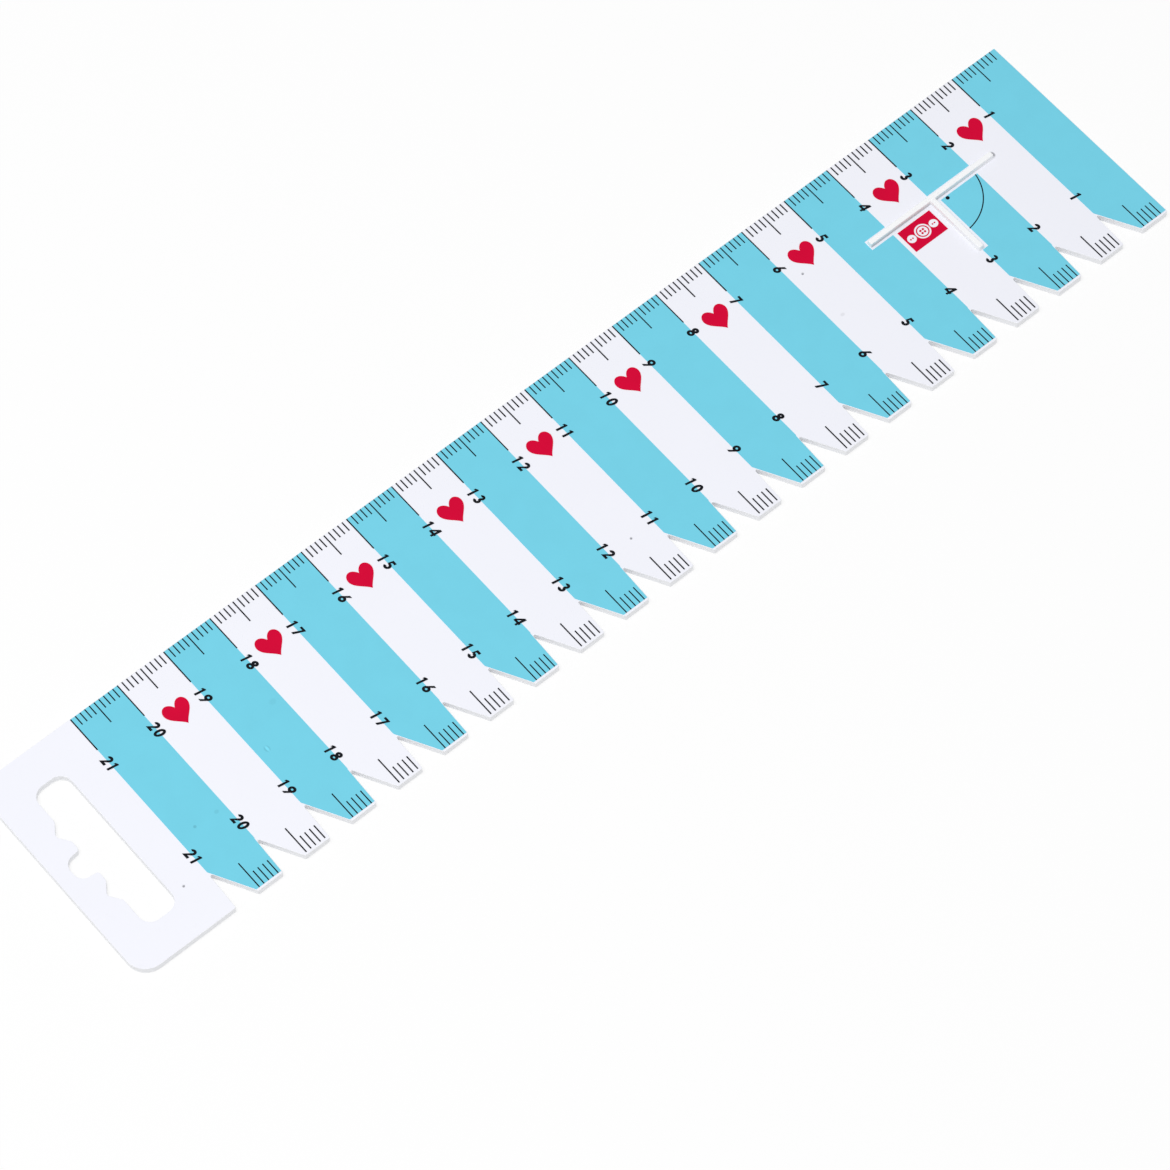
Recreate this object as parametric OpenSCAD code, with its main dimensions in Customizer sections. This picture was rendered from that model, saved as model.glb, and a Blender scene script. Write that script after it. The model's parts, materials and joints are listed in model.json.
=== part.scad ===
// Flat comb-edged sewing gauge with a 21 cm scale, a T-shaped grip rib and a hanging tab.
// Plan coordinates are u, from the zero mark towards the tab, and v, from the scale edge
// towards the teeth. The plate lies flat: +X points to the zero end, +Y to the scale edge,
// +Z up, with the origin under the middle of the plate.

/* [Scale] */
// Centimetres on the scale, one tooth for each
centimetres = 21; // [6:1:28]
// Width of the scale lines
line_w = 0.23; // [0.15:0.01:0.35]
// Length of a millimetre line
mm_line = 2.1; // [1.5:0.1:3]
// Length of a half centimetre line
half_line = 4.9; // [3.5:0.1:6]
// Length of a centimetre line
cm_line = 7.6; // [6.5:0.1:8]
// Gap between the scale edge of the plate and its lines
edge_gap = 0.15; // [0.1:0.05:0.5]

/* [Plate] */
// Thickness of the plate
plate_t = 1.5; // [1:0.1:3]
// Width of the plate, from the scale edge to the tooth tips
plate_w = 46.2; // [44:0.1:60]
// Plate beyond the zero mark
end_gap = 0.3; // [0.2:0.05:1]
// Length of the hanging tab beyond the scale
tab_len = 20.2; // [18:0.1:40]
// Corner radius of the tab
tab_r = 4; // [1:0.5:6]
// Corner radius at the zero end
end_r = 0.3; // [0.1:0.05:1]

/* [Teeth] */
// Depth of the notches between the teeth
notch_depth = 8.1; // [6:0.1:10]
// Width of a tooth at its flat tip
tip_w = 5.25; // [4.9:0.05:6.5]
// Setback of a tooth's straight side at its tip
side_draft = 0.3; // [0.1:0.05:0.6]
// Corner radius at the tooth tips
tip_r = 0.3; // [0.1:0.05:0.8]
// Corner radius at the bottom of the notches
notch_r = 0.25; // [0.1:0.05:0.6]

/* [Tooth lines] */
// Length of the lines that count 1 to 4 mm on a tooth
tooth_line = 3.05; // [2:0.05:5]
// Length of the line at 5 mm on a tooth
tooth_half_line = 5.75; // [4:0.05:7]
// Gap between the tooth tips and their lines
tip_gap = 0.45; // [0.2:0.05:1]

/* [Hanging slot] */
// Length of the slot across the plate
slot_len = 32.4; // [28:0.1:36]
// Width of the slot
slot_w = 6.8; // [5:0.1:9]
// Corner radius of the slot
slot_r = 2.4; // [1:0.1:2.4]
// Plate between the scale and the slot
slot_gap = 6.9; // [5:0.1:9]
// Shift of the slot from the middle of the plate towards the teeth
slot_shift = 0.2; // [0:0.05:1]
// Depth of the middle hook notch
hook_depth = 3.5; // [2:0.1:4.5]
// Width of the middle hook notch
hook_w = 5.3; // [4.5:0.1:6]
// Depth of the two side hook notches
side_hook_depth = 1.5; // [0.8:0.1:2.4]
// Width of the two side hook notches
side_hook_w = 4.8; // [4:0.1:5.4]
// Distance from the middle notch to each side notch
side_hook_step = 7.1; // [6.6:0.1:9]

/* [Grip rib] */
// Length of the rib's cross bar
rib_bar_len = 29.2; // [20:0.1:36]
// Length of the rib's stem below the bar
rib_stem_len = 13; // [8:0.5:14]
// Width of the rib at its foot
rib_w = 1.2; // [0.8:0.05:2]
// Height of the rib above the plate
rib_h = 1; // [0.6:0.1:3]
// Setback of each rib side at its top
rib_draft = 0.08; // [0.02:0.01:0.25]
// Place of the stem along the scale
rib_u = 30.1; // [29.9:0.1:30.6]
// Middle of the cross bar below the scale edge
rib_v = 16.9; // [15.5:0.05:18]

/* [Print] */
// Thickness of every printed film
ink_t = 0.05; // [0.02:0.01:0.1]
// Bare plate between the turquoise print and a free edge
bleed_gap = 0.1; // [0.05:0.01:0.3]
// Bare plate between the turquoise print and the tooth tips
tip_bare = 0.45; // [0.2:0.05:1]
// Bare plate beside the rib's cross bar
bar_bare = 0.5; // [0.3:0.05:1]
// Bare plate beside the rib's stem
stem_bare = 0.85; // [0.3:0.05:1]
// Bare plate beyond the ends of the rib's bar and stem
rib_end_bare = 0.15; // [0.1:0.05:0.4]
// Width and height of a heart
heart_w = 5.05; // [3:0.05:6]
// Top of the hearts below the scale edge
heart_v = 8.5; // [8.2:0.1:9.5]
// Shift of the hearts from the middle of their stripe
heart_shift = -0.45; // [-1:0.05:1]
// Stretch of the row of hearts along the scale, in percent
heart_stretch = 0.28; // [-0.5:0.01:0.5]

/* [Numerals] */
// Height of a numeral
numeral_h = 2.1; // [1.9:0.05:2.4]
// Width that one digit takes
digit_pitch = 1.69; // [1.2:0.01:1.8]
// Thickness of a digit's strokes
stroke_w = 0.48; // [0.25:0.01:0.5]
// Slope of the digits
slant_angle = 11; // [0:1:16]
// First digit of the upper row below the scale edge
upper_v = 10.2; // [9.6:0.05:11]
// First digit of the lower row above the notches
lower_gap = 4.8; // [4.5:0.05:5.5]

/* [Square symbol] */
// Radius of the right angle's arc
arc_r = 9.55; // [6:0.05:9.8]
// Diameter of the right angle's dot
dot_d = 0.75; // [0.4:0.05:1.2]
// Distance of the dot from the rib's stem
dot_gap = 2.05; // [1.8:0.05:3]
// Distance of the dot below the rib's cross bar
dot_drop = 0.96; // [0.91:0.05:1.96]

/* [Red panel] */
// Length of the panel
panel_len = 7.5; // [5:0.1:8]
// Width of the panel
panel_w = 5.1; // [3:0.1:7]
// Gap between the panel and the rib's stem
panel_stem_gap = 1; // [0.8:0.05:1.4]
// Gap between the panel and the rib's cross bar
panel_bar_gap = 0.75; // [0.6:0.05:1.5]
// Bare plate between the panel and the turquoise print
panel_bare = 0.5; // [0.3:0.05:0.7]
// Diameter of the middle button in the panel
button_d = 3.1; // [2:0.1:3.4]
// Diameter of the two side buttons in the panel
side_button_d = 1.75; // [1:0.05:1.9]

/* [Hidden] */
$fn = 64;
mm = 1;
mm_per_cm = 10;
mm_per_half = 5;
cm = mm_per_cm * mm;
scale_len = centimetres * cm;
plate_len = end_gap + scale_len + tab_len;
zero_x = plate_len / 2 - end_gap;
scale_y = plate_w / 2 - edge_gap;
tip_v = plate_w - edge_gap;
notch_v = tip_v - notch_depth;
slant_run = cm - side_draft - tip_w;
slant_slope = slant_run / notch_depth;
print_tip_v = tip_v - tip_bare;
slant_bleed = bleed_gap * sqrt(1 + slant_slope * slant_slope);
stripe_count = ceil(centimetres / 2);
heart_count = floor(centimetres / 2);
corner_steps = 8;
slot_u = scale_len + slot_gap + slot_w / 2;
slot_v = plate_w / 2 - edge_gap + slot_shift;
slot_outer_u = slot_u + slot_w / 2;
slot_low_v = slot_v + slot_len / 2;
slot_high_v = slot_v - slot_len / 2;
hook_r = 2;
hook_lip_r = 0.6;
hook_taper = 0.4;
side_hook_r = 0.9;
side_hook_half = atan(side_hook_w / 2 / side_hook_depth);
side_hook_peak = side_hook_depth + side_hook_r * (1 / sin(side_hook_half) - 1);
rib_stem_end_v = rib_v + rib_w / 2 + rib_stem_len;
trim = 2;
heart_points = 60;
heart_fullness = 0.5;
heart_curve_h = 29;
slant = tan(slant_angle);
digit_s = stroke_w / numeral_h;
straight_share = 0.9;
straight_s = digit_s * straight_share;
arc_inset = 0.3;
arc_u = rib_u - rib_w / 2 + arc_inset;
arc_v = rib_v - rib_w / 2;
arc_from = 96.5;
arc_to = 170;
dot_u = rib_u - rib_w / 2 - dot_gap;
dot_v = rib_v + rib_w / 2 + dot_drop;
panel_u = rib_u + rib_w / 2 + panel_stem_gap;
panel_v = rib_v + rib_w / 2 + panel_bar_gap;
button_hole_d = 0.42;
button_hole_step = 0.42;
button_ring_w = 0.2;
button_ring_share = 0.78;
side_button_step = 2.55;
side_hole_d = 0.3;
side_hole_step = 0.24;

PLASTIC = [0.95, 0.95, 0.97];
TURQUOISE = [0.47, 0.81, 0.89];
RED = [0.84, 0.03, 0.2];
BLACK = [0.07, 0.07, 0.09];

function two_digits(i) = i < 10 ? str("0", i) : str(i);
function stripe_name(i) = str("turquoise_stripe_", two_digits(i));
function heart_name(i) = str("red_heart_", two_digits(i));

// Corner p between a and b, rounded to radius r
function round_corner(a, p, b, r) =
    let (da = (a - p) / norm(a - p))
    let (db = (b - p) / norm(b - p))
    let (half = acos(da * db) / 2)
    let (centre = p + (da + db) / norm(da + db) * r / sin(half))
    let (start = p + da * r / tan(half) - centre)
    let (turn = (180 - 2 * half) * (cross(da, db) > 0 ? 1 : -1))
    [for (i = [0:corner_steps]) centre + turned(start, -turn * i / corner_steps)];

function turned(p, angle) = [
    p.x * cos(angle) - p.y * sin(angle),
    p.x * sin(angle) + p.y * cos(angle)
];

function flat(p) = [p.x, p.y];

// Outline through points [x, y, radius], each corner rounded to its radius
function rounded(points) =
    let (n = len(points))
    [for (i = [0:n - 1])
        let (p = points[i])
        let (a = flat(points[(i + n - 1) % n]))
        let (b = flat(points[(i + 1) % n]))
        each p[2] > 0 ? round_corner(a, flat(p), b, p[2]) : [flat(p)]];

// Straight side and slanted side of tooth i, at distance v
function side_u(i, v) = i == 0 ? -end_gap : i * cm + side_draft * (v - notch_v) / notch_depth;
function slant_u(i, v) = (i + 1) * cm - slant_slope * (v - notch_v);

function tooth_points(i) = [
    [side_u(i, tip_v), tip_v, i == 0 ? end_r : tip_r],
    [slant_u(i, tip_v), tip_v, tip_r],
    [(i + 1) * cm, notch_v, notch_r]
];

function plate_points() = concat(
    [[-end_gap, -edge_gap, end_r]],
    [for (i = [0:centimetres - 1]) each tooth_points(i)],
    [[scale_len + side_draft, tip_v, tip_r]],
    [[scale_len + tab_len, tip_v, tab_r]],
    [[scale_len + tab_len, -edge_gap, tab_r]]
);

function side_hook_points(v) = [
    [slot_outer_u, v + side_hook_w / 2, side_hook_r],
    [slot_outer_u + side_hook_peak, v, side_hook_r],
    [slot_outer_u, v - side_hook_w / 2, side_hook_r]
];

function slot_points() = concat(
    [[slot_outer_u - slot_w, slot_high_v, slot_r]],
    [[slot_outer_u - slot_w, slot_low_v, slot_r]],
    [[slot_outer_u, slot_low_v, slot_r]],
    side_hook_points(slot_v + side_hook_step),
    [[slot_outer_u, slot_v + hook_w / 2, hook_lip_r]],
    [[slot_outer_u + hook_depth, slot_v + hook_w / 2 - hook_taper, hook_r]],
    [[slot_outer_u + hook_depth, slot_v - hook_w / 2 + hook_taper, hook_r]],
    [[slot_outer_u, slot_v - hook_w / 2, hook_lip_r]],
    side_hook_points(slot_v - side_hook_step),
    [[slot_outer_u, slot_high_v, slot_r]]
);

// Heart with its point towards +v, swept by t from its cleft round to its point and back.
// The curve stands heart_curve_h high before it is scaled.
function heart_point(t) =
    let (reach = heart_fullness * pow(sin(t), 2) + (1 - heart_fullness) * pow(abs(sin(t)), 3))
    [
        sign(sin(t)) * reach * heart_w / 2,
        (12 - 13 * cos(t) + 5 * cos(2 * t) + 2 * cos(3 * t) + cos(4 * t)) * heart_w / heart_curve_h
    ];

// Lays plan coordinates u and v on a level of the plate
module on_level(z) {
    translate([zero_x, scale_y, z])
        rotate(180)
            children();
}

module film() {
    on_level(plate_t)
        linear_extrude(ink_t)
            children();
}

module line_at(u, v, length) {
    translate([u - line_w / 2, v])
        square([line_w, length]);
}

module gauge_plate() {
    color(PLASTIC)
        on_level(0)
            linear_extrude(plate_t)
                difference() {
                    polygon(rounded(plate_points()));
                    polygon(rounded(slot_points()));
                }
}

// Bar of the rib's section: its foot is length by rib_w, and all its sides lean in
module rib_bar(length) {
    intersection() {
        rotate([90, 0, 0])
            linear_extrude(rib_w + trim, center = true)
                rib_profile(length);
        rotate([90, 0, 90])
            linear_extrude(length + trim, center = true)
                rib_profile(rib_w);
    }
}

module rib_profile(foot) {
    polygon([
        [-foot / 2, 0],
        [foot / 2, 0],
        [foot / 2 - rib_draft, rib_h],
        [-foot / 2 + rib_draft, rib_h]
    ]);
}

module t_grip_rib() {
    stem = rib_stem_len + rib_w;
    color(PLASTIC)
        on_level(plate_t)
            union() {
                translate([rib_u, rib_v])
                    rib_bar(rib_bar_len);
                translate([rib_u, rib_stem_end_v - stem / 2])
                    rotate(90)
                        rib_bar(stem);
            }
}

// Bare T round the rib, where nothing is printed
module rib_margin() {
    translate([rib_u - rib_bar_len / 2 - rib_end_bare, rib_v - rib_w / 2 - bar_bare])
        square([rib_bar_len + 2 * rib_end_bare, rib_w + 2 * bar_bare]);
    translate([rib_u - rib_w / 2 - stem_bare, rib_v])
        square([rib_w + 2 * stem_bare, rib_stem_end_v + rib_end_bare - rib_v]);
}

module panel_margin() {
    translate([panel_u - panel_bare, panel_v - panel_bare])
        square([panel_len + 2 * panel_bare, panel_w + 2 * panel_bare]);
}

// What the turquoise print leaves free round the rib and the print beside it
module clear_of_rib_print() {
    rib_margin();
    panel_margin();
    arc_shape();
    dot_shape();
}

// Turquoise band on tooth i, counted from 0, before the black print is left out of it
module band_shape(i) {
    start = i == 0 ? bleed_gap - end_gap : i * cm;
    polygon([
        [start, 0],
        [start, i == 0 ? notch_v : notch_v - bleed_gap],
        [side_u(i, notch_v) + bleed_gap, notch_v],
        [side_u(i, print_tip_v) + bleed_gap, print_tip_v],
        [slant_u(i, print_tip_v) - slant_bleed, print_tip_v],
        [(i + 1) * cm, notch_v - slant_bleed / slant_slope],
        [(i + 1) * cm, 0]
    ]);
}

module turquoise_stripe(number) {
    i = 2 * (number - 1);
    near_rib = abs((i + 0.5) * cm - rib_u) < (cm + rib_bar_len) / 2 + rib_end_bare;
    color(TURQUOISE)
        film()
            difference() {
                band_shape(i);
                lines_on(i);
                tooth_lines_on(i);
                for (k = [max(i, 1):i + 1])
                    numeral_pair(k);
                if (near_rib)
                    clear_of_rib_print();
            }
}

// Scale lines of centimetre i, with those at both its ends
module lines_on(i) {
    mm_lines(i);
    half_cm_line(i);
    for (k = [max(i, 1):i + 1])
        one_cm_line(k);
}

module mm_lines(i) {
    for (k = [1:mm_per_cm - 1])
        if (k != mm_per_half)
            line_at(i * cm + k * mm, 0, mm_line);
}

module half_cm_line(i) {
    line_at(i * cm + mm_per_half * mm, 0, half_line);
}

module one_cm_line(k) {
    line_at(k * cm, 0, cm_line);
}

module tooth_lines_on(i) {
    tooth_mm_lines(i);
    tooth_half_line_on(i);
}

module tooth_mm_lines(i) {
    for (k = [1:mm_per_half - 1])
        line_at(i * cm + k * mm, tip_v - tip_gap - tooth_line, tooth_line);
}

module tooth_half_line_on(i) {
    line_at(i * cm + mm_per_half * mm, tip_v - tip_gap - tooth_half_line, tooth_half_line);
}

module red_heart(number) {
    u = (2 * number - 0.5) * cm * (1 + heart_stretch / 100) + heart_shift;
    color(RED)
        film()
            translate([u, heart_v])
                polygon([for (k = [0:heart_points - 1]) heart_point(k * 360 / heart_points)]);
}

module millimetre_lines() {
    color(BLACK)
        film()
            for (i = [0:centimetres - 1])
                mm_lines(i);
}

module half_centimetre_lines() {
    color(BLACK)
        film()
            for (i = [0:centimetres - 1])
                half_cm_line(i);
}

module centimetre_lines() {
    color(BLACK)
        film()
            for (k = [1:centimetres])
                one_cm_line(k);
}

module tooth_millimetre_lines() {
    color(BLACK)
        film()
            for (i = [0:centimetres - 1])
                tooth_mm_lines(i);
}

module tooth_half_centimetre_lines() {
    color(BLACK)
        film()
            for (i = [0:centimetres - 1])
                tooth_half_line_on(i);
}

// Digits stand on a base line, are 1 high, and lean; they are scaled to numeral_h
function lean(p) = [p.x + slant * (p.y - 0.5), p.y] * numeral_h;
function leaning(points) = [for (p = points) lean(p)];
function oval_arc(c, rx, ry, from, to, steps) =
    [for (i = [0:steps])
        let (a = from + (to - from) * i / steps)
        [c.x + rx * cos(a), c.y + ry * sin(a)]];

// Curved stroke, digit_s thick, with its outer edge on an oval
module bow(c, rx, ry, from, to) {
    outer = oval_arc(c, rx, ry, from, to, 12);
    inner = oval_arc(c, rx - digit_s, ry - digit_s, to, from, 12);
    polygon(leaning(concat(outer, inner)));
}

module loop_ring(c, rx, ry) {
    difference() {
        polygon(leaning(oval_arc(c, rx, ry, 0, 345, 23)));
        polygon(leaning(oval_arc(c, rx - digit_s, ry - digit_s, 0, 345, 23)));
    }
}

module plain_strokes(points) {
    polygon(leaning(points));
}

module digit_0() {
    loop_ring([0, 0.5], 0.33, 0.51);
}

module digit_1() {
    s = straight_s;
    plain_strokes([
        [0.08 - s, 0], [0.08, 0], [0.08, 1], [-0.06, 1], [-0.25, 0.89], [-0.25, 0.7], [0.08 - s, 0.79]
    ]);
}

module digit_2() {
    s = digit_s;
    c = [0.02, 0.7];
    outer = oval_arc(c, 0.31, 0.31, -38, 168, 14);
    inner = oval_arc(c, 0.31 - s, 0.31 - s, 168, -38, 14);
    plain_strokes(concat([[-0.31, 0], [0.3, 0], [0.3, s], [0.02, s]], outer, inner));
}

module digit_3() {
    bow([0, 0.73], 0.28, 0.28, -100, 160);
    bow([0, 0.29], 0.31, 0.3, -165, 100);
}

module digit_4() {
    s = straight_s;
    difference() {
        plain_strokes([
            [0.08, 0], [0.08 + s, 0], [0.08 + s, 0.2], [0.36, 0.2], [0.36, 0.2 + s], [0.08 + s, 0.2 + s],
            [0.08 + s, 1], [0.09, 1], [-0.33, 0.2 + s], [-0.33, 0.2], [0.08, 0.2]
        ]);
        plain_strokes([[-0.11, 0.2 + s], [0.08, 0.2 + s], [0.08, 0.69]]);
    }
}

module digit_5() {
    s = digit_s;
    bow([0, 0.32], 0.32, 0.33, -160, 125);
    plain_strokes([
        [-0.17, 1], [0.26, 1], [0.26, 1 - s], [-0.03, 1 - s], [-0.06, 0.62], [-0.09, 0.5], [-0.24, 0.48]
    ]);
}

module digit_6() {
    s = digit_s;
    loop_ring([0, 0.31], 0.33, 0.32);
    plain_strokes([[-0.3, 0.4], [0.07, 1], [0.09 + s, 1], [-0.06, 0.48], [-0.12, 0.42]]);
}

module digit_7() {
    s = straight_s;
    plain_strokes([
        [-0.28, 1], [0.3, 1], [0.3, 0.93], [-0.2 + s, 0], [-0.22, 0], [0.05, 1 - s], [-0.28, 1 - s]
    ]);
}

module digit_8() {
    loop_ring([0, 0.74], 0.29, 0.27);
    loop_ring([0, 0.29], 0.33, 0.3);
}

module digit_9() {
    translate([0, numeral_h])
        rotate(180)
            digit_6();
}

module digit(d) {
    if (d == "0") digit_0();
    if (d == "1") digit_1();
    if (d == "2") digit_2();
    if (d == "3") digit_3();
    if (d == "4") digit_4();
    if (d == "5") digit_5();
    if (d == "6") digit_6();
    if (d == "7") digit_7();
    if (d == "8") digit_8();
    if (d == "9") digit_9();
}

// Number k on its centimetre, its top towards the zero end, with its first digit at v
module numeral(k, v) {
    word = str(k);
    translate([k * cm + numeral_h / 2, v])
        rotate(90)
            for (i = [0:len(word) - 1])
                translate([i * digit_pitch, 0])
                    digit(word[i]);
}

module upper_numeral(k) {
    numeral(k, upper_v);
}

module lower_numeral(k) {
    numeral(k, notch_v - lower_gap);
}

module numeral_pair(k) {
    upper_numeral(k);
    lower_numeral(k);
}

module upper_numerals() {
    color(BLACK)
        film()
            for (k = [1:centimetres])
                upper_numeral(k);
}

module lower_numerals() {
    color(BLACK)
        film()
            for (k = [1:centimetres])
                lower_numeral(k);
}

module arc_shape() {
    reach = 2 * arc_r;
    intersection() {
        translate([arc_u, arc_v])
            difference() {
                circle(arc_r + line_w / 2);
                circle(arc_r - line_w / 2);
            }
        translate([arc_u, arc_v])
            polygon([
                [0, 0],
                [reach * cos(arc_from), reach * sin(arc_from)],
                [-reach, reach],
                [reach * cos(arc_to), reach * sin(arc_to)]
            ]);
    }
}

module dot_shape() {
    translate([dot_u, dot_v])
        circle(d = dot_d);
}

module right_angle_arc() {
    color(BLACK)
        film()
            arc_shape();
}

module right_angle_dot() {
    color(BLACK)
        film()
            dot_shape();
}

// White button shape, with its four holes and its rim line left red
module button_shape(d) {
    difference() {
        circle(d = d);
        difference() {
            circle(d = d * button_ring_share);
            circle(d = d * button_ring_share - 2 * button_ring_w);
        }
        for (a = [45:90:315])
            rotate(a)
                translate([button_hole_step, 0])
                    circle(d = button_hole_d);
    }
}

module side_button_shape(d) {
    difference() {
        circle(d = d);
        for (side = [-1, 1])
            translate([side * side_hole_step, 0])
                circle(d = side_hole_d);
    }
}

module red_button_panel() {
    color(RED)
        film()
            translate([panel_u + panel_len / 2, panel_v + panel_w / 2])
                difference() {
                    square([panel_len, panel_w], center = true);
                    button_shape(button_d);
                    for (side = [-1, 1])
                        translate([side * side_button_step, 0])
                            side_button_shape(side_button_d);
                }
}

gauge_plate();
t_grip_rib();
for (i = [1:stripe_count]) turquoise_stripe(i);
for (i = [1:heart_count]) red_heart(i);
millimetre_lines();
half_centimetre_lines();
centimetre_lines();
tooth_millimetre_lines();
tooth_half_centimetre_lines();
upper_numerals();
lower_numerals();
right_angle_arc();
right_angle_dot();
red_button_panel();
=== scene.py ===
"""Looks of a comb-edged sewing gauge, built round its packed model.

The two white mouldings are modelled again from the model's solids, with rolled edges, a fillet at the
foot of the rib and the marks that a mould leaves. The printed films keep their own shapes and get
their inks. Sizes are in metres, in the frame of the model: +X to the zero end of the scale, +Y to the
scale edge, +Z up.
"""

import json
import math

import bmesh
import bpy
from bpy.props import FloatProperty, FloatVectorProperty, IntProperty, PointerProperty
from mathutils import Matrix, Vector


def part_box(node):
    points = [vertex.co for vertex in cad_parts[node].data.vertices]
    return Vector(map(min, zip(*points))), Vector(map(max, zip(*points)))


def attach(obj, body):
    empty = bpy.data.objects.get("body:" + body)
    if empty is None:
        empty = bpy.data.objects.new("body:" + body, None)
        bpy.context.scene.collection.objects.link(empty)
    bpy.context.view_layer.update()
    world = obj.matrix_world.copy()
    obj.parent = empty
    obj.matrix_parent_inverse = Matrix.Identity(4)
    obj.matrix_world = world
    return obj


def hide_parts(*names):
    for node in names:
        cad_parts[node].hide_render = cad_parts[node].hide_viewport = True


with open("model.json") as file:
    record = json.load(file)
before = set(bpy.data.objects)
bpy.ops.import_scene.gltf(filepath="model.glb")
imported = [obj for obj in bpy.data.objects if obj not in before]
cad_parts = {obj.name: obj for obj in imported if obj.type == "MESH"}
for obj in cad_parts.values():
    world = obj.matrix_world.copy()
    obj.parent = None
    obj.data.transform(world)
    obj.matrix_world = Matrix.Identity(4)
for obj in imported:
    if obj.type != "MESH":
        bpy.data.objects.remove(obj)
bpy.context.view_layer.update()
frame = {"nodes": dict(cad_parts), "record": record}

bl_info = {
    "name": "Sewing gauge looks",
    "version": (1, 0, 0),
    "blender": (4, 5, 0),
    "location": "View3D > Sidebar > Sewing gauge",
    "description": "Moulds, prints and lights a comb-edged sewing gauge",
    "category": "Add Mesh",
}

BODY = "root"
MM = 0.001
SAME_PLACE = 0.0005 * MM
PLATE_LOW, PLATE_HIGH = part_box("gauge_plate")
RIB_LOW, RIB_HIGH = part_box("t_grip_rib")
PLATE_TOP = PLATE_HIGH.z
OPENINGS = {opening["name"]: opening["box_m"] for opening in frame["record"]["physics"]["openings"]}
SLOT_MIDDLE_Y = (OPENINGS["hanging_slot"][0][1] + OPENINGS["hanging_slot"][1][1]) / 2

# What counts as one flat face, as a wall and as a corner between two walls: the largest angle in a flat
# face, the largest upright share of a wall's normal, and the least angle of a corner
FLAT_ANGLE = math.radians(0.5)
WALL_NORMAL = 0.5
CORNER_ANGLE = math.radians(30)

# Places on the face, as x and y, of the small marks that the mould left, and the strength of the painted
# shade that darkens the gas pits
GAS_PITS = [(-99.6 * MM, -14.3 * MM), (-0.1 * MM, -12.0 * MM), (57.5 * MM, 9.3 * MM)]
PIT_SHADE = 0.8
DIMPLE = (-73.05 * MM, -3.15 * MM)

# The dimple's depth in units of the ink's grain, and the tones of its painted rim shade and painted
# highlight
DIMPLE_DEPTH = 9
DIMPLE_SHADE = 0.7
DIMPLE_GLINT = 1.16

# Distances of the two rows of ejector pin marks from the scale edge and from the tips of the teeth
SCALE_TO_PINS = 7 * MM
TEETH_TO_PINS = 14 * MM

# Tone of the white plastic where it drifts darkest, and the share of a spot that has its full strength
DRIFT_TONE = 0.98
SPOT_CORE = 0.4

# Faint specks in the white face and in the turquoise ink: middle, half sizes and strength. Those in the
# ink darken it towards one tone.
SPECK_TONE = 0.5
FACE_SPECK = ((57.3 * MM, -1.65 * MM), 0.6 * MM, 0.45 * MM, 0.16)
INK_SPECKS = [
    ((-91.4 * MM, -6.8 * MM), 0.4 * MM, 0.4 * MM, 0.45),
    ((-86.9 * MM, -6.95 * MM), 0.6 * MM, 0.5 * MM, 0.2),
    ((-66.8 * MM, 3.3 * MM), 0.9 * MM, 0.8 * MM, 0.12),
]

# A dark spot on the plate at the foot of the bar's end near the zero mark, and painted shade at the foot
# of the bar's wall, strongest at the other end. Each has a middle, half sizes and a strength.
BAR_END_DARK_SPOT = ((RIB_HIGH.x + 0.36 * MM, RIB_HIGH.y - 0.47 * MM), 0.46 * MM, 0.78 * MM, 0.75)
BAR_WALL_PAINTED_SHADE = ((RIB_LOW.x, RIB_HIGH.y), 32 * MM, 4 * MM, 0.58)

# Gap between the gauge and the floor's white paper, and the paper's colour
FLOOR_GAP = 0.02 * MM
PAPER = (0.98, 0.98, 0.98, 1.0)


def srgb(red, green, blue):
    """Linear colour of an 8 bit screen colour."""
    shares = [value / 255 for value in (red, green, blue)]
    return [s / 12.92 if s <= 0.04045 else ((s + 0.055) / 1.055) ** 2.4 for s in shares]


def length(name, description, default):
    return FloatProperty(name=name, description=description, default=default, unit="LENGTH")


def angle(name, description, degrees):
    return FloatProperty(
        name=name, description=description, default=math.radians(degrees), unit="ROTATION"
    )


def colour(name, description, default):
    return FloatVectorProperty(
        name=name, description=description, default=default, subtype="COLOR", min=0, max=1
    )


class PlateShape(bpy.types.PropertyGroup):
    """Sizes of the plate's edges and mould marks"""

    top_radius: length("Top edge radius", "Radius of the rim on the printed side", 0.09 * MM)
    under_radius: length("Under edge radius", "Radius of the rim on the underside", 0.14 * MM)
    segments: IntProperty(name="Edge segments", description="Facets across a rim", default=3)
    pit_d: length("Pit diameter", "Diameter of the gas pits in the face", 0.5 * MM)
    pit_depth: length("Pit depth", "Depth of the gas pits", 0.12 * MM)
    dimple_d: length("Dimple diameter", "Diameter of the dimple under the print", 1.3 * MM)
    pin_d: length("Pin mark diameter", "Diameter of the ejector pin marks underneath", 4 * MM)
    pin_depth: length("Pin mark depth", "Depth of the ejector pin marks", 0.06 * MM)
    pin_columns: IntProperty(name="Pin columns", description="Pin marks along the plate", default=5)


class RibShape(bpy.types.PropertyGroup):
    """Sizes of the T rib's edges"""

    corner_radius: length("Corner radius", "Radius of the rib's upright edges", 0.2 * MM)
    top_radius: length("Top edge radius", "Radius of the rib's upper edges", 0.16 * MM)
    segments: IntProperty(name="Edge segments", description="Facets across an edge", default=4)
    fillet: length("Foot fillet", "Height and width of the fillet on the plate", 0.05 * MM)


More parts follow.
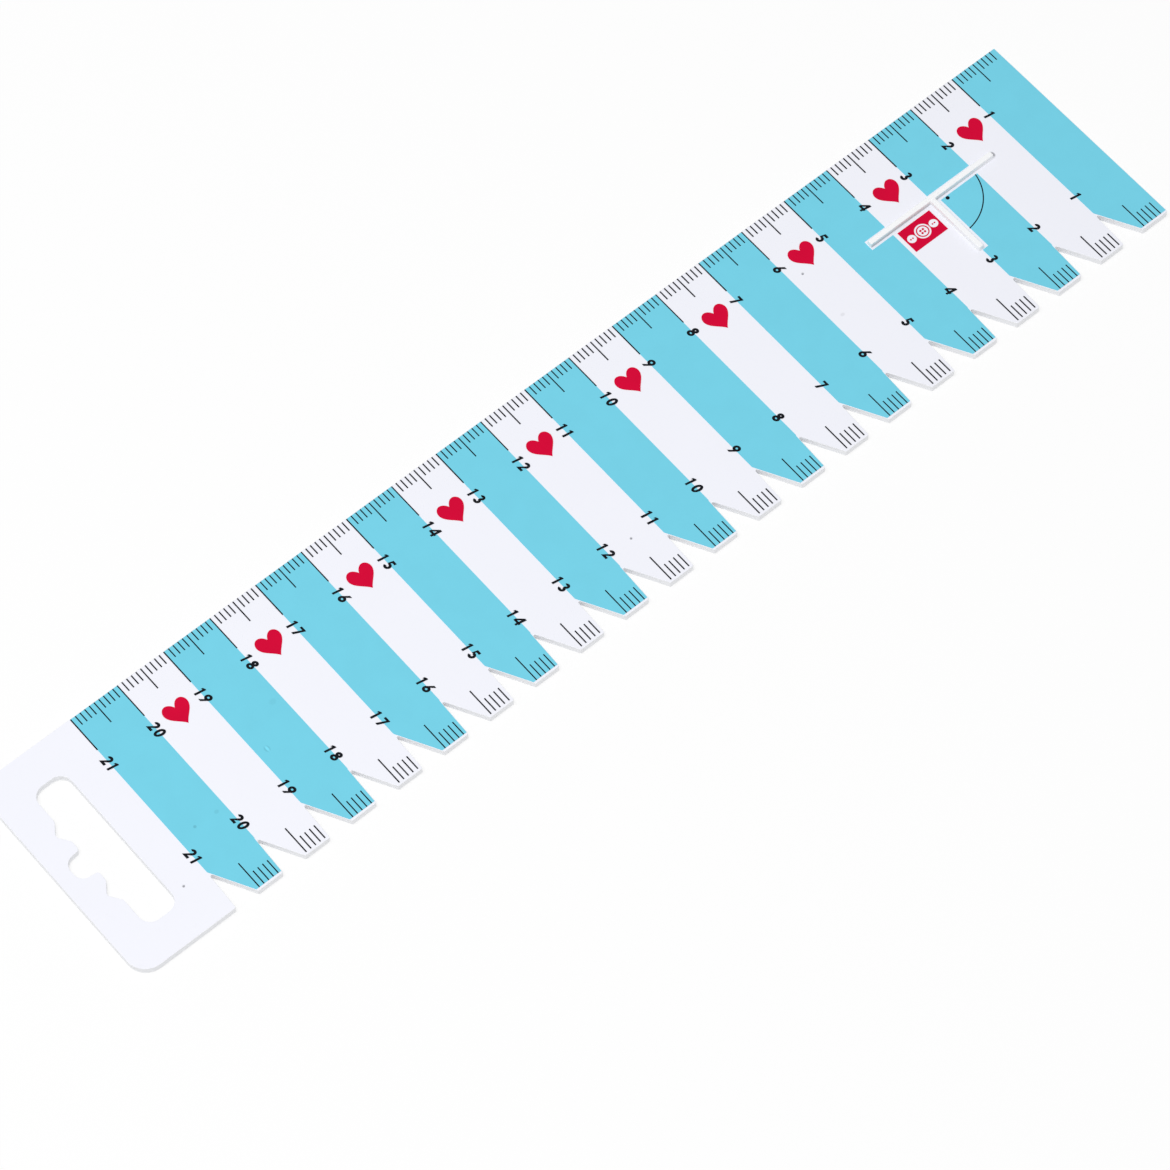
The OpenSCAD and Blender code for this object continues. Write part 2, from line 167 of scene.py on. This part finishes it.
class Colours(bpy.types.PropertyGroup):
    """Colours of the plastic and the three inks"""

    face: colour("Face", "Colour of the plate's white face", srgb(245, 246, 254))
    # Face and sides are one plastic in two tones: painted light, giving the walls the look the light gives
    # them
    sides: colour("Sides", "Colour of the bare plastic on the plate's sides and back", srgb(245, 246, 249))
    # The rib's tone is lighter than the face's: a painted highlight for the light its rounded top catches
    rib: colour("Rib", "Colour of the white rib", srgb(252, 253, 255))
    # Dark tone for the painted shade in the gas pits and at the foot of the rib's wall, and for a dark
    # spot at the bar's end
    dark_tone: colour("Dirt", "Colour of the dust in pits and corners", srgb(120, 120, 126))
    turquoise: colour("Turquoise ink", "Colour of the stripes", srgb(120, 211, 233))
    red: colour("Red ink", "Colour of the hearts and the button panel", srgb(213, 2, 55))
    black: colour("Black ink", "Colour of the lines and numerals", srgb(16, 18, 24))


class Studio(bpy.types.PropertyGroup):
    """Camera, lamps and floor"""

    target: FloatVectorProperty(
        name="Target",
        description="Point on the plate's face that the camera looks at",
        subtype="TRANSLATION",
        default=(-12.012 * MM, -13.862 * MM, PLATE_TOP),
    )
    distance: length("Distance", "Distance from the camera to its target", 933.565 * MM)
    azimuth: angle("Azimuth", "Turn of the view from +Y towards +X", 37.377)
    elevation: angle("Elevation", "Angle of the view below the horizon", 61.186)
    roll: angle("Roll", "Turn of the camera about its line of sight", -2.818)
    lens: FloatProperty(
        name="Lens", description="Focal length in millimetres", default=167.43, unit="CAMERA"
    )
    sky: FloatProperty(name="Sky", description="Strength of the light from all round", default=0.55)
    key_power: FloatProperty(
        name="Key power", description="Power of the soft box", default=4.75, unit="POWER"
    )
    key_azimuth: angle("Key azimuth", "Turn of the soft box from +Y towards +X", -85)
    key_elevation: angle("Key elevation", "Height of the soft box above the horizon", 75)
    key_distance: length("Key distance", "Distance from the soft box to the plate", 1.0)
    key_size: length("Key size", "Side of the soft box", 0.5)
    floor_size: length("Floor size", "Side of the square floor", 6)
    floor_white: FloatProperty(
        name="Floor white", description="Share of plain white in the floor's look", default=0.75
    )


SETTINGS = {
    "gauge_plate_shape": PlateShape,
    "gauge_rib_shape": RibShape,
    "gauge_colours": Colours,
    "gauge_studio": Studio,
}


class Field:
    """A number that varies over a surface. Arithmetic on it adds Math nodes to its finish."""

    def __init__(self, finish, socket):
        self.finish = finish
        self.socket = socket

    def math(self, operation, first, second):
        return self.finish.node(
            "ShaderNodeMath", {"operation": operation}, {0: first, 1: second}
        )["Value"]

    def __add__(self, other):
        return self.math("ADD", self, other)

    def __radd__(self, other):
        return self.math("ADD", other, self)

    def __sub__(self, other):
        return self.math("SUBTRACT", self, other)

    def __rsub__(self, other):
        return self.math("SUBTRACT", other, self)

    def __mul__(self, other):
        return self.math("MULTIPLY", self, other)

    def __rmul__(self, other):
        return self.math("MULTIPLY", other, self)

    def or_more(self, other):
        return self.math("MAXIMUM", self, other)


class Finish:
    """A material or world under construction. Its patterns lie on Object coordinates."""

    def __init__(self, data):
        self.data = data
        data.use_nodes = True
        self.nodes = data.node_tree.nodes
        self.links = data.node_tree.links
        self.nodes.clear()

    def node(self, kind, settings, inputs):
        """Adds a node and returns its outputs, by name, as fields."""
        made = self.nodes.new(kind)
        for name, value in settings.items():
            setattr(made, name, value)
        for key, value in inputs.items():
            if isinstance(value, Field):
                self.links.new(value.socket, made.inputs[key])
            else:
                made.inputs[key].default_value = value
        return {out.name: Field(self, out) for out in made.outputs if out.enabled}

    def place(self):
        return self.node("ShaderNodeTexCoord", {}, {})["Object"]

    def noise(self, grain, detail):
        """Cloudy pattern from 0 to 1, with blots about one grain wide."""
        inputs = {"Vector": self.place(), "Scale": 1 / grain, "Detail": detail}
        return self.node("ShaderNodeTexNoise", {}, inputs)["Fac"]

    def ramp(self, value, start, end, low=0.0, high=1.0):
        """The value taken smoothly from start..end to low..high, and held beyond them."""
        inputs = {"Value": value, "From Min": start, "From Max": end, "To Min": low, "To Max": high}
        return self.node("ShaderNodeMapRange", {"interpolation_type": "SMOOTHSTEP"}, inputs)["Result"]

    def reach(self, middle, half_x, half_y):
        """Distance in plan from a spot's middle, as a share of its half sizes."""
        offset = self.node(
            "ShaderNodeVectorMath", {"operation": "SUBTRACT"}, {0: self.place(), 1: (*middle, 0)}
        )["Vector"]
        shares = self.node(
            "ShaderNodeVectorMath", {"operation": "MULTIPLY"}, {0: offset, 1: (1 / half_x, 1 / half_y, 0)}
        )["Vector"]
        return self.node("ShaderNodeVectorMath", {"operation": "LENGTH"}, {0: shares})["Value"]

    def spot(self, middle, half_x, half_y, strength):
        """Soft spot in plan: the strength in its middle, falling to 0 at its edge."""
        return self.ramp(self.reach(middle, half_x, half_y), SPOT_CORE, 1.0, strength, 0.0)

    def mix(self, share, first, second):
        """Colour that goes from the first to the second as the share goes from 0 to 1."""
        inputs = {"Factor": share, 6: first, 7: second}
        return self.node("ShaderNodeMix", {"data_type": "RGBA"}, inputs)["Result"]

    def facing(self, axis):
        """How squarely the surface faces along an axis of the object, from -1 to 1."""
        normal = self.node("ShaderNodeTexCoord", {}, {})["Normal"]
        inputs = {0: normal, 1: axis}
        return self.node("ShaderNodeVectorMath", {"operation": "DOT_PRODUCT"}, inputs)["Value"]

    def height(self):
        return self.node("ShaderNodeSeparateXYZ", {}, {"Vector": self.place()})["Z"]

    def bump(self, height, distance):
        inputs = {"Height": height, "Distance": distance}
        return self.node("ShaderNodeBump", {}, inputs)["Normal"]

    def blend(self, share, first, second):
        """Shader that goes from the first to the second as the share goes from 0 to 1."""
        return self.node("ShaderNodeMixShader", {}, {0: share, 1: first, 2: second})["Shader"]

    def background(self, strength):
        inputs = {"Color": (1, 1, 1, 1), "Strength": strength}
        return self.node("ShaderNodeBackground", {}, inputs)["Background"]

    def seen_directly(self):
        """1 for rays that show the background: from the camera, or by way of gloss or glass."""
        path = self.node("ShaderNodeLightPath", {}, {})
        seen = path["Is Camera Ray"].or_more(path["Is Glossy Ray"])
        return seen.or_more(path["Is Transmission Ray"])

    def surface(self, inputs):
        """Ends a material in one Principled shader."""
        return self.end(self.node("ShaderNodeBsdfPrincipled", {}, inputs)["BSDF"])

    def end(self, shader, kind="ShaderNodeOutputMaterial"):
        self.node(kind, {}, {"Surface": shader})
        return self.data


def toned(tint, factor):
    """An opaque colour with each channel scaled."""
    return (*[channel * factor for channel in tint], 1.0)


def white_plastic(name, face, sides, dark_tone, dark_spots=(), shaded_walls=()):
    """Satin polystyrene: a faint drift of tone, orange peel, and a darker tone in a few spots.

    The face's tone goes on what looks up, and the sides' tone on the rest: two tones of one plastic, as
    painted light that sets the walls apart from the face. The dark spots hold painted shade in the pits,
    specks, and a dark spot at the foot of the rib's end. The painted shade of the shaded walls lies above
    the plate, on the low part of walls that face the teeth.
    """
    finish = Finish(bpy.data.materials.new(name))
    drift = finish.noise(14 * MM, 2.0)
    cloud = finish.noise(2.4 * MM, 3.0)
    peel = finish.noise(0.42 * MM, 1.0)
    # The face and side tones split by facing, as painted light
    upward = finish.ramp(finish.facing((0, 0, 1)), 0.6, 0.95)
    darker = finish.mix(upward, toned(sides, DRIFT_TONE), toned(face, DRIFT_TONE))
    lighter = finish.mix(upward, toned(sides, 1.0), toned(face, 1.0))
    shown = finish.mix(drift, darker, lighter)
    for spot in dark_spots:
        shown = finish.mix(finish.spot(*spot), shown, toned(dark_tone, 1.0))
    # Painted shade on the low part of the rib's walls that face the teeth, where they meet the plate
    for spot in shaded_walls:
        wall = finish.ramp(finish.facing((0, -1, 0)), 0.5, 0.95)
        foot = finish.ramp(finish.height(), PLATE_TOP, RIB_HIGH.z, 1.0, 0.0)
        shown = finish.mix(finish.spot(*spot) * wall * foot, shown, toned(dark_tone, 1.0))
    return finish.surface({
        "Base Color": shown,
        "Roughness": 0.34 + cloud * 0.1,
        "Specular IOR Level": 0.4,
        "Normal": finish.bump(peel, 0.004 * MM),
    })


def ink(name, tint, mottle, roughness, specks=(), dimple_d=0.0):
    """Screen ink, mottled where the squeegee laid it unevenly, with its own fine tooth.

    Specks darken it, and a dimple of the given diameter is bumped in, with painted shade on its rim and a
    painted highlight streak across it.
    """
    finish = Finish(bpy.data.materials.new(name))
    cloud = finish.noise(4.5 * MM, 3.0)
    grain = finish.noise(0.16 * MM, 2.0)
    pooled = finish.ramp(cloud * 0.7 + grain * 0.3, 0.32, 0.68)
    tooth = grain * 0.5
    shown = finish.mix(pooled, toned(tint, 1 + mottle), toned(tint, 1 - mottle))
    for speck in specks:
        shown = finish.mix(finish.spot(*speck), shown, toned(tint, SPECK_TONE))
    if dimple_d:
        tooth = tooth - finish.spot(DIMPLE, 0.5 * dimple_d, 0.5 * dimple_d, DIMPLE_DEPTH)
        # Painted shade on the dimple's rim and a painted highlight streak across it
        shade = finish.spot(DIMPLE, 0.5 * dimple_d, 0.7 * dimple_d, 0.6)
        shown = finish.mix(shade, shown, toned(tint, DIMPLE_SHADE))
        glint = finish.spot(DIMPLE, 0.25 * dimple_d, 0.7 * dimple_d, 1.0)
        shown = finish.mix(glint, shown, toned(tint, DIMPLE_GLINT))
    return finish.surface({
        "Base Color": shown,
        "Roughness": roughness + grain * 0.08,
        "Specular IOR Level": 0.06,
        "Normal": finish.bump(tooth, 0.006 * MM),
    })


def only(piece):
    """Leaves just this piece selected and active, in object mode."""
    if bpy.context.object and bpy.context.object.mode != "OBJECT":
        bpy.ops.object.mode_set(mode="OBJECT")
    bpy.ops.object.select_all(action="DESELECT")
    piece.select_set(True)
    bpy.context.view_layer.objects.active = piece


def merged_copy(node_name, piece_name, seam_y=None):
    """A new piece from a node's solid, its loose triangles merged into whole flat faces.

    A seam, cut across the plan at one y, keeps a face with a hole in it as two plain halves.
    """
    mesh = frame["nodes"][node_name].data.copy()
    mesh.name = piece_name
    piece = bpy.data.objects.new(piece_name, mesh)
    bpy.context.scene.collection.objects.link(piece)
    only(piece)
    bpy.ops.mesh.customdata_custom_splitnormals_clear()
    bpy.ops.object.mode_set(mode="EDIT")
    bpy.ops.mesh.select_all(action="SELECT")
    bpy.ops.mesh.remove_doubles(threshold=SAME_PLACE)
    if seam_y is not None:
        bpy.ops.mesh.bisect(plane_co=(0, seam_y, 0), plane_no=(0, 1, 0))
        bpy.ops.mesh.mark_seam()
        bpy.ops.mesh.select_all(action="SELECT")
    bpy.ops.mesh.dissolve_limited(angle_limit=FLAT_ANGLE, delimit={"SEAM"})
    return piece


def select(piece, kind, wanted):
    """Selects, in edit mode, the piece's edges or faces for which wanted is true."""
    bpy.ops.mesh.select_mode(type=kind)
    bpy.ops.mesh.select_all(action="DESELECT")
    mesh = bmesh.from_edit_mesh(piece.data)
    for part in mesh.edges if kind == "EDGE" else mesh.faces:
        if wanted(part):
            part.select_set(True)
    bmesh.update_edit_mesh(piece.data)


def at_level(part, level):
    return all(abs(corner.co.z - level) < SAME_PLACE for corner in part.verts)


def is_wall(face):
    return abs(face.normal.z) < WALL_NORMAL


def is_rim(edge, level):
    """True for an edge at a level where a flat face meets a wall."""
    return at_level(edge, level) and sum(is_wall(face) for face in edge.link_faces) == 1


def is_upright(edge):
    """True for an edge between two walls that meet at a clear angle."""
    walls = [face for face in edge.link_faces if is_wall(face)]
    return len(walls) == 2 and edge.calc_face_angle() > CORNER_ANGLE


def roll_edges(piece, radius, segments, wanted):
    select(piece, "EDGE", wanted)
    bpy.ops.mesh.bevel(offset=radius, offset_type="OFFSET", segments=segments, affect="EDGES")


def stamp(piece, places, diameter, depth, level):
    """Sinks round marks a depth into the piece from a level of it."""
    cutters = []
    for x, y in places:
        bpy.ops.mesh.primitive_cylinder_add(
            vertices=32, radius=diameter / 2, depth=2 * depth, location=(x, y, level)
        )
        cutters.append(bpy.context.object)
    only(cutters[0])
    for cutter in cutters:
        cutter.select_set(True)
    bpy.ops.object.join()
    tool = bpy.context.object
    only(piece)
    bpy.ops.object.modifier_add(type="BOOLEAN")
    modifier = piece.modifiers[-1]
    modifier.operation = "DIFFERENCE"
    modifier.object = tool
    bpy.ops.object.modifier_apply(modifier=modifier.name)
    bpy.data.objects.remove(tool)


def polish(piece, smooth_angle):
    """Smooth shading on the rolled edges that leaves the broad faces flat."""
    only(piece)
    bpy.ops.object.shade_smooth_by_angle(angle=smooth_angle)
    bpy.ops.object.modifier_add(type="WEIGHTED_NORMAL")
    modifier = piece.modifiers[-1]
    modifier.keep_sharp = True
    bpy.ops.object.modifier_apply(modifier=modifier.name)


def hand_over(piece, node_name, material):
    """Gives a finished white piece its material and its body, and hides the node that it is modelled from.
    """
    piece.data.materials.clear()
    piece.data.materials.append(material)
    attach(piece, BODY)
    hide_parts(node_name)


def pin_places(columns):
    """Middles of the ejector pin marks: one row under the scale and one above the notches."""
    pitch = (PLATE_HIGH.x - PLATE_LOW.x) / (columns + 1)
    rows = [PLATE_HIGH.y - SCALE_TO_PINS, PLATE_LOW.y + TEETH_TO_PINS]
    return [(PLATE_LOW.x + pitch * (k + 1), y) for k in range(columns) for y in rows]


class GAUGE_OT_plate(bpy.types.Operator):
    """Models the white plate with rolled edges, gas pits and ejector pin marks"""

    bl_idname = "gauge.plate"
    bl_label = "Plate"

    def execute(self, context):
        shape = context.scene.gauge_plate_shape
        piece = merged_copy("gauge_plate", "gauge_plate_moulding", SLOT_MIDDLE_Y)
        rims = {PLATE_TOP: shape.top_radius, PLATE_LOW.z: shape.under_radius}
        for level, radius in rims.items():
            roll_edges(piece, radius, shape.segments, lambda edge: is_rim(edge, level))
        bpy.ops.object.mode_set(mode="OBJECT")
        stamp(piece, GAS_PITS, shape.pit_d, shape.pit_depth, PLATE_TOP)
        stamp(piece, pin_places(shape.pin_columns), shape.pin_d, shape.pin_depth, PLATE_LOW.z)
        polish(piece, smooth_angle=math.radians(38))
        # Each gas pit is darkened with painted shade, a little wider than the pit
        pit_reach = 0.6 * shape.pit_d
        pit_shade = [(pit, pit_reach, pit_reach, PIT_SHADE) for pit in GAS_PITS]
        tones = context.scene.gauge_colours
        plastic = white_plastic(
            "white_plate_plastic", tones.face, tones.sides, tones.dark_tone,
            dark_spots=[*pit_shade, FACE_SPECK, BAR_END_DARK_SPOT],
        )
        hand_over(piece, "gauge_plate", plastic)
        return {"FINISHED"}


class GAUGE_OT_rib(bpy.types.Operator):
    """Models the T-shaped grip rib with rolled edges and a fillet at its foot"""

    bl_idname = "gauge.rib"
    bl_label = "T rib"

    def execute(self, context):
        shape = context.scene.gauge_rib_shape
        piece = merged_copy("t_grip_rib", "t_grip_rib_moulding")
        roll_edges(piece, shape.corner_radius, shape.segments, is_upright)
        roll_edges(piece, shape.top_radius, shape.segments, lambda edge: is_rim(edge, RIB_HIGH.z))
        bpy.ops.mesh.select_all(action="SELECT")
        bpy.ops.mesh.bisect(plane_co=(0, 0, RIB_LOW.z + shape.fillet), plane_no=(0, 0, 1))
        select(piece, "FACE", lambda face: at_level(face, RIB_LOW.z))
        bpy.ops.mesh.inset(thickness=shape.fillet, use_outset=True, use_even_offset=True)
        polish(piece, smooth_angle=math.radians(50))
        tones = context.scene.gauge_colours
        # The rib takes the lighter rib tone all over, as painted light
        plastic = white_plastic(
            "white_rib_plastic", tones.rib, tones.rib, tones.dark_tone, shaded_walls=[BAR_WALL_PAINTED_SHADE]
        )
        hand_over(piece, "t_grip_rib", plastic)
        return {"FINISHED"}


def print_films(prefixes, material):
    """Gives the printed films whose names start so their ink."""
    for name, node in frame["nodes"].items():
        if name.startswith(prefixes):
            node.material_slots[0].material = material


class GAUGE_OT_turquoise_print(bpy.types.Operator):
    """Inks the turquoise stripes"""

    bl_idname = "gauge.turquoise_print"
    bl_label = "Turquoise print"

    def execute(self, context):
        tint = context.scene.gauge_colours.turquoise
        dimple_d = context.scene.gauge_plate_shape.dimple_d
        turquoise = ink(
            "turquoise_screen_ink", tint, mottle=0.012, roughness=0.42,
            specks=INK_SPECKS, dimple_d=dimple_d,
        )
        print_films("turquoise_", turquoise)
        return {"FINISHED"}


class GAUGE_OT_red_print(bpy.types.Operator):
    """Inks the hearts and the button panel"""

    bl_idname = "gauge.red_print"
    bl_label = "Red print"

    def execute(self, context):
        tint = context.scene.gauge_colours.red
        print_films("red_", ink("red_screen_ink", tint, mottle=0.03, roughness=0.36))
        return {"FINISHED"}


class GAUGE_OT_black_print(bpy.types.Operator):
    """Inks the scale lines, the numerals and the right-angle symbol"""

    bl_idname = "gauge.black_print"
    bl_label = "Black print"

    def execute(self, context):
        tint = context.scene.gauge_colours.black
        names = tuple(
            name for name in frame["nodes"] if name.endswith(("_lines", "_numerals", "_arc", "_dot"))
        )
        print_films(names, ink("black_screen_ink", tint, mottle=0.1, roughness=0.45))
        return {"FINISHED"}


def towards(azimuth, elevation):
    """Direction from the gauge at a turn from +Y towards +X and a height above the floor."""
    across = math.cos(elevation)
    return Vector((
        across * math.sin(azimuth),
        across * math.cos(azimuth),
        math.sin(elevation),
    ))


def aim(thing, target, roll=0.0):
    """Points a lamp or camera at the target, turned about its line of sight."""
    sight = (target - thing.location).to_track_quat("-Z", "Y").to_matrix()
    thing.rotation_euler = (sight @ Matrix.Rotation(roll, 3, "Z")).to_euler()


def add_floor(studio):
    bpy.ops.mesh.primitive_plane_add(size=studio.floor_size, location=(0, 0, PLATE_LOW.z - FLOOR_GAP))
    floor = bpy.context.object
    floor.name = "studio_floor"
    finish = Finish(bpy.data.materials.new("studio_paper"))
    paper = finish.node("ShaderNodeBsdfDiffuse", {}, {"Color": PAPER})["BSDF"]
    white = finish.node("ShaderNodeEmission", {}, {"Color": (1, 1, 1, 1), "Strength": 1.0})["Emission"]
    finish.end(finish.blend(finish.seen_directly() * studio.floor_white, paper, white))
    floor.data.materials.append(finish.data)


def add_sky(studio):
    """Even light from all round, which the camera sees as plain white."""
    world = bpy.data.worlds.new("studio_sky")
    bpy.context.scene.world = world
    finish = Finish(world)
    light = finish.background(studio.sky)
    white = finish.background(1.0)
    finish.end(finish.blend(finish.seen_directly(), light, white), "ShaderNodeOutputWorld")


def add_key(studio, target):
    direction = towards(studio.key_azimuth, studio.key_elevation)
    bpy.ops.object.light_add(type="AREA", location=target + direction * studio.key_distance)
    lamp = bpy.context.object
    lamp.name = "soft_box"
    lamp.data.energy = studio.key_power
    lamp.data.size = studio.key_size
    aim(lamp, target)


def add_camera(studio, target):
    back = towards(studio.azimuth + math.pi, studio.elevation)
    bpy.ops.object.camera_add(location=target + back * studio.distance)
    camera = bpy.context.object
    camera.name = "photo_camera"
    camera.data.sensor_width = 36
    camera.data.lens = studio.lens
    aim(camera, target, studio.roll)
    bpy.context.scene.camera = camera


class GAUGE_OT_stage(bpy.types.Operator):
    """Sets the gauge on a white floor, under a soft box and an even sky, before the camera"""

    bl_idname = "gauge.stage"
    bl_label = "Stage"

    def execute(self, context):
        studio = context.scene.gauge_studio
        target = Vector(studio.target)
        add_floor(studio)
        add_sky(studio)
        add_key(studio, target)
        add_camera(studio, target)
        context.scene.view_settings.view_transform = "Standard"
        return {"FINISHED"}


OPERATORS = [
    GAUGE_OT_plate,
    GAUGE_OT_rib,
    GAUGE_OT_turquoise_print,
    GAUGE_OT_red_print,
    GAUGE_OT_black_print,
    GAUGE_OT_stage,
]


class GAUGE_PT_looks(bpy.types.Panel):
    """Buttons that build the gauge's looks, and the sizes and colours that they use"""

    bl_label = "Sewing gauge"
    bl_idname = "GAUGE_PT_looks"
    bl_space_type = "VIEW_3D"
    bl_region_type = "UI"
    bl_category = "Sewing gauge"

    def draw(self, context):
        for operator in OPERATORS:
            self.layout.operator(operator.bl_idname)
        for name, group in SETTINGS.items():
            box = self.layout.box()
            box.label(text=group.__doc__)
            for prop in group.__annotations__:
                box.prop(getattr(context.scene, name), prop)


def register():
    for group in (*SETTINGS.values(), *OPERATORS, GAUGE_PT_looks):
        bpy.utils.register_class(group)
    for name, group in SETTINGS.items():
        setattr(bpy.types.Scene, name, PointerProperty(type=group))


def unregister():
    for name in SETTINGS:
        delattr(bpy.types.Scene, name)
    for group in reversed((*SETTINGS.values(), *OPERATORS, GAUGE_PT_looks)):
        bpy.utils.unregister_class(group)


def main():
    register()
    bpy.ops.gauge.plate()
    bpy.ops.gauge.rib()
    bpy.ops.gauge.turquoise_print()
    bpy.ops.gauge.red_print()
    bpy.ops.gauge.black_print()
    bpy.ops.gauge.stage()


if __name__ == "__main__":
    main()
